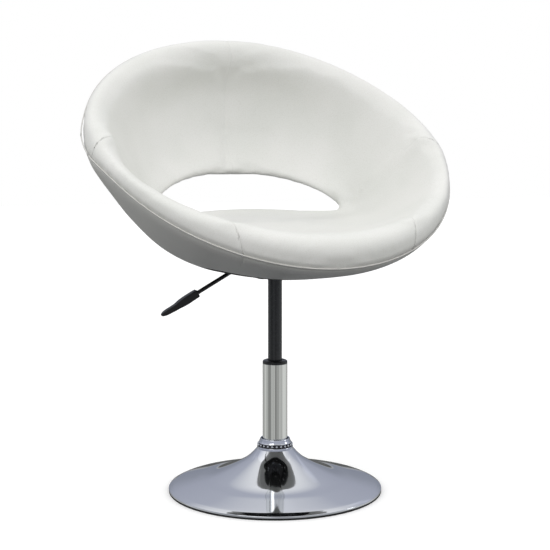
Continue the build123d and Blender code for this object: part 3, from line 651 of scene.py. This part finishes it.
def make_cover():
    """The leather over the foam: one skin with its panels' seams and the piping's groove."""
    pads = [n for kind in ("pad", "underpad") for n in panel_nodes(kind)]
    inside, outside = seams("pad"), seams("underpad")
    piping = piping_points()
    groove = points_tree(piping)
    foam = remeshed(pads + ["bucket_shell"], VOXEL_MM)
    smoothed(foam, 6)
    smoothed(foam, 14, opening_edge(groove))
    lines = [p for points, _, _ in inside + outside for p in points]
    puffed(foam, lines + piping, PUFF_CAP_MM)
    smoothed(foam, 2)
    finer = foam.modifiers.new("finer", "SUBSURF")
    finer.levels = finer.render_levels = 1
    settle(foam)
    bm = bmesh.new()
    bm.from_mesh(foam.data)
    bpy.data.objects.remove(foam)
    for seam in inside + outside:
        sewn(bm, seam, groove, SEAM_WIDTH_MM, SEAM_DEPTH_MM)
    for v in bm.verts:
        close = groove.find(v.co)[2] / MM
        if close < GROOVE_MM:
            v.co -= v.normal * (1 - close / GROOVE_MM) * GROOVE_DEPTH_MM * MM
    made = piece("leather_cover", bm, LEATHER, "seat")
    made.data.materials.append(DUST_COVER)
    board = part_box("seat_board")
    for face in made.data.polygons:
        x, y, z = face.center
        from_column = Vector((x, y)).length
        recess = from_column < board[1].x + 16 * MM and z < board[1].z + 4 * MM
        underside = from_column < DUST_COVER_SHARE * board[1].x and face.normal.z < -0.9
        if recess or underside:
            face.material_index = 1
    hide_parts(*pads, "bucket_shell")


make_cover()


def make_piping():
    """Piping cord round the whole bowl, sewn into the groove between the two covers."""
    for side in SIDES:
        made = piece(f"piping_{side}", cad_copy(f"welt_{side}"), SHADED_PIPING, "seat")
        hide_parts(f"welt_{side}")


make_piping()


# ------------------------------------------------------------------ studio
def make_studio():
    """Pale floor, two soft lamps and the surroundings."""
    bm = bmesh.new()
    bmesh.ops.create_grid(bm, x_segments=1, y_segments=1, size=12.0)
    mesh = bpy.data.meshes.new("studio_floor")
    bm.to_mesh(mesh)
    bm.free()
    floor = bpy.data.objects.new("studio_floor", mesh)
    bpy.context.scene.collection.objects.link(floor)
    paint = material("pale_studio_floor", Roughness=0.9, Base_Color=linear("FAFAFA"),
                     Specular_IOR_Level=0.0, Emission_Color=linear("FFFFFF"),
                     Emission_Strength=0.12)[0]
    mesh.materials.append(paint)
    floor.visible_diffuse = floor.visible_glossy = False

    make_surroundings()
    for name, place, size, power in (
            ("key", (-1.8, -1.6, 2.6), 1.6, 10.0),
            ("strip_right", (2.4, -0.9, 1.3), 0.5, 3.0)):
        lamp = bpy.data.lights.new(name, "AREA")
        lamp.shape = "SQUARE"
        lamp.size = size
        lamp.energy = power
        holder = bpy.data.objects.new(name, lamp)
        bpy.context.scene.collection.objects.link(holder)
        holder.location = place
        aim = Vector((0, 0, 0.5)) - Vector(place)
        holder.rotation_euler = aim.to_track_quat("-Z", "Y").to_euler()


def grey_ramp(tree, height, stops):
    """Grey or tinted levels by height, from -1 straight down to 1 straight up."""
    share = add(tree, "MapRange", {"Value": height, "From Min": -1.0, "From Max": 1.0})
    made = add(tree, "ValToRGB", {"Fac": share.outputs["Result"]})
    marks = made.color_ramp.elements
    for mark, (z, colour) in zip((marks[0], marks[1]), (stops[0], stops[-1])):
        mark.position, mark.color = (z + 1) / 2, colour + (1,)
    for z, colour in stops[1:-1]:
        marks.new((z + 1) / 2).color = colour + (1,)
    return made.outputs["Color"]


def make_surroundings():
    """What lights the chair, what its chrome mirrors, and the plain white backdrop.
    The light is a soft ceiling with hardly any bounce from below. Only mirror rays see the
    room: a pale floor, dim blue-grey walls that brighten towards the ceiling, a darker side
    to the front, and broad upright streaks in what lies below the horizon."""
    world = bpy.data.worlds.new("studio")
    bpy.context.scene.world = world
    world.use_nodes = True
    tree = world.node_tree
    way = add(tree, "TexCoord").outputs["Generated"]
    height = add(tree, "SeparateXYZ", {"Vector": way}).outputs["Z"]
    soft = grey_ramp(tree, height, [
        (-1.0, (0.06, 0.06, 0.06)), (-0.15, (0.1, 0.1, 0.1)), (0.05, (0.66, 0.66, 0.66)),
        (0.3, (1.12, 1.12, 1.12)), (1.0, (1.12, 1.12, 1.12))])
    mirrored_room = grey_ramp(tree, height, [
        (-1.0, (0.3, 0.31, 0.33)), (-0.14, (0.62, 0.63, 0.62)), (-0.02, (0.5, 0.51, 0.52)),
        (0.02, (0.26, 0.28, 0.34)), (0.18, (0.3, 0.32, 0.38)), (0.34, (0.4, 0.42, 0.5)),
        (0.6, (0.46, 0.48, 0.56)), (0.8, (0.8, 0.81, 0.84)), (1.0, (1.0, 1.0, 1.0))])
    front = Vector((sin(CAMERA_TURN), -cos(CAMERA_TURN), 0))
    toward = add(tree, "VectorMath", {0: way, 1: front}, operation="DOT_PRODUCT")
    behind = add(tree, "MapRange", {"Value": toward.outputs["Value"], "From Min": -0.97,
                                    "From Max": -0.7, "To Min": 0.25, "To Max": 1.0})
    above = add(tree, "MapRange", {"Value": height, "From Min": -0.06, "From Max": 0.0})
    level_way = add(tree, "VectorMath", {0: way, 1: (1.0, 1.0, 0.0)}, operation="MULTIPLY")
    stands = add(tree, "TexNoise", {"Vector": level_way.outputs["Vector"], "Scale": 1.5,
                                    "Detail": 2.0, "Roughness": 0.6})
    streaks = ramp(tree, stands.outputs["Fac"], (0.45, 0.45, 0.45, 1), (1.25, 1.25, 1.22, 1),
                   0.38, 0.6)
    room = add(tree, "Math", {0: behind.outputs["Result"], 1: streaks}, operation="MULTIPLY")
    shade = add(tree, "Math", {0: room.outputs["Value"], 1: above.outputs["Result"]},
                operation="MAXIMUM")
    rays = add(tree, "LightPath")
    gloss = add(tree, "Background", {"Color": mirrored_room, "Strength": shade.outputs["Value"]})
    light = add(tree, "Background", {"Color": soft, "Strength": 1.0})
    backdrop = add(tree, "Background", {"Color": (1, 1, 1, 1), "Strength": 1.0})
    lit = add(tree, "MixShader", {0: rays.outputs["Is Glossy Ray"],
                                  1: light.outputs["Background"], 2: gloss.outputs["Background"]})
    seen = add(tree, "MixShader", {0: rays.outputs["Is Camera Ray"],
                                   1: lit.outputs["Shader"], 2: backdrop.outputs["Background"]})
    tree.links.new(seen.outputs["Shader"], tree.nodes["World Output"].inputs["Surface"])


def make_camera():
    """Camera 2.4 m away at desk height, a little left of the front, looking slightly down."""
    distance, height, pitch = 2.4, 0.6891, radians(6.02)
    lens = bpy.data.cameras.new("camera")
    lens.sensor_width = 36.0
    lens.lens = 79.2
    lens.clip_end = 100.0
    made = bpy.data.objects.new("camera", lens)
    bpy.context.scene.collection.objects.link(made)
    made.location = (distance * sin(CAMERA_TURN), -distance * cos(CAMERA_TURN), height)
    made.rotation_euler = (pi / 2 - pitch, 0, CAMERA_TURN)
    bpy.context.scene.camera = made


make_studio()
make_camera()
bpy.context.scene.view_settings.view_transform = "Standard"
